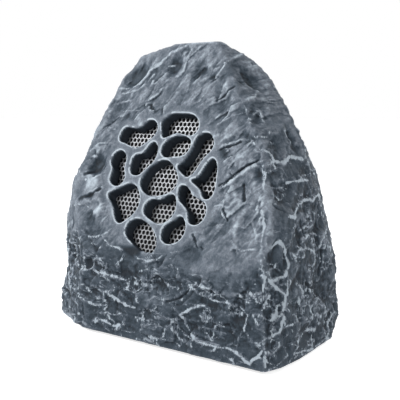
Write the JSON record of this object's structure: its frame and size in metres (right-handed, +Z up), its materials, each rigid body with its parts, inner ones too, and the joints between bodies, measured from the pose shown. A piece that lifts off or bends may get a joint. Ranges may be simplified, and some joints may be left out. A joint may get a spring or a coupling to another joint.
{
  "type": "portable bluetooth speaker",
  "caption": "Rechargeable outdoor wireless speaker built into a hollow boulder, with pebble-shaped grille openings and a recessed control panel at the back.",
  "frame": {"origin": "on the floor, under the middle of the rock's bounding box", "axes": "+Z up, the grille faces -Y, the control panel faces +Y, +X to the right as seen from the front"},
  "size_m": [0.296, 0.2, 0.294],
  "materials": {
    "rock": "cast resin with a painted stone finish, slate blue-grey with pale dry-brushed edges",
    "base_plastic": "moulded black plastic",
    "seal_foam": "closed-cell foam seal",
    "foot_rubber": "soft black rubber",
    "screw_steel": "zinc-plated screws",
    "grille_steel": "perforated steel, satin light grey",
    "acoustic_cloth": "thin black acoustic cloth",
    "baffle_board": "dense fibreboard painted black",
    "basket_steel": "pressed steel, black paint",
    "plated_steel": "plated steel",
    "ferrite": "sintered ferrite",
    "cone_paper": "coated paper cone",
    "copper_winding": "enamelled copper winding on a former",
    "surround_rubber": "butyl rubber roll",
    "spider_cloth": "resin-stiffened cloth",
    "terminal_board": "phenolic board with solder tabs",
    "lead_jacket": "flexible jacketed lead",
    "panel_plastic": "moulded black panel, fine texture",
    "button_rubber": "soft-touch rubber",
    "switch_plastic": "switch and connector housings",
    "circuit_board": "green solder mask",
    "lens_clear": "clear light pipe",
    "led_body": "white light-emitting diode",
    "ribbon_film": "flat flexible film",
    "heatsink_aluminium": "black anodised aluminium",
    "capacitor_can": "sleeved aluminium cans",
    "connector_plastic": "moulded white connector housings",
    "cell_wrap": "blue shrink film over round cells"
  },
  "bodies": {
    "enclosure": {"amplifier_heatsink": "heatsink_aluminium", "baffle": "baffle_board", "baffle_screws": "screw_steel", "base_gasket": "seal_foam", "base_plate": "base_plastic", "base_screws": "screw_steel", "battery_cells": "cell_wrap", "battery_cradle": "base_plastic", "battery_leads": "lead_jacket", "battery_strap": "plated_steel", "bluetooth_module": "plated_steel", "board_capacitors": "capacitor_can", "board_connectors": "connector_plastic", "board_screws": "screw_steel", "button_switches": "switch_plastic", "charge_socket": "plated_steel", "control_board": "circuit_board", "control_board_screws": "screw_steel", "control_ribbon": "ribbon_film", "driver_basket": "basket_steel", "driver_gasket": "seal_foam", "driver_magnet": "ferrite", "driver_screws": "screw_steel", "driver_spider": "spider_cloth", "driver_surround": "surround_rubber", "driver_terminals": "terminal_board", "driver_top_plate": "plated_steel", "driver_yoke": "plated_steel", "grille_cloth": "acoustic_cloth", "main_board": "circuit_board", "panel_gasket": "seal_foam", "panel_screws": "screw_steel", "rear_panel": "panel_plastic", "ribbon_connector": "switch_plastic", "rock_shell": "rock", "rubber_feet": "foot_rubber", "speaker_grille": "grille_steel", "speaker_leads": "lead_jacket", "status_led": "led_body", "status_lens": "lens_clear", "strap_screws": "screw_steel"},
    "power_button": {"power_button": "button_rubber"},
    "pair_button": {"pair_button": "button_rubber"},
    "volume_down_button": {"volume_down_button": "button_rubber"},
    "volume_up_button": {"volume_up_button": "button_rubber"},
    "port_cover": {"port_cover": "button_rubber"},
    "driver_cone": {"driver_cone": "cone_paper", "dust_cap": "cone_paper", "voice_coil": "copper_winding"}
  },
  "joints": [
    {"name": "power_button_press", "type": "slide", "parent": "enclosure", "child": "power_button", "axis": [0, -0.9781, -0.2079], "range_m": [0, 0.0012], "stiffness_N_per_m": 400},
    {"name": "pair_button_press", "type": "slide", "parent": "enclosure", "child": "pair_button", "axis": [0, -0.9781, -0.2079], "range_m": [0, 0.0012], "stiffness_N_per_m": 400},
    {"name": "volume_down_button_press", "type": "slide", "parent": "enclosure", "child": "volume_down_button", "axis": [0, -0.9781, -0.2079], "range_m": [0, 0.0012], "stiffness_N_per_m": 400},
    {"name": "volume_up_button_press", "type": "slide", "parent": "enclosure", "child": "volume_up_button", "axis": [0, -0.9781, -0.2079], "range_m": [0, 0.0012], "stiffness_N_per_m": 400},
    {"name": "port_cover_swing", "type": "hinge", "parent": "enclosure", "child": "port_cover", "pos_m": [0.0038, 0.09095, 0.08239], "axis": [0, 0.2079, -0.9781], "range_deg": [0, 110]},
    {"name": "cone_stroke", "type": "slide", "parent": "enclosure", "child": "driver_cone", "axis": [0, -0.9455, 0.3256], "range_m": [-0.0025, 0.0025], "stiffness_N_per_m": 1500, "deforming": ["driver_surround", "driver_spider"]}
  ]
}
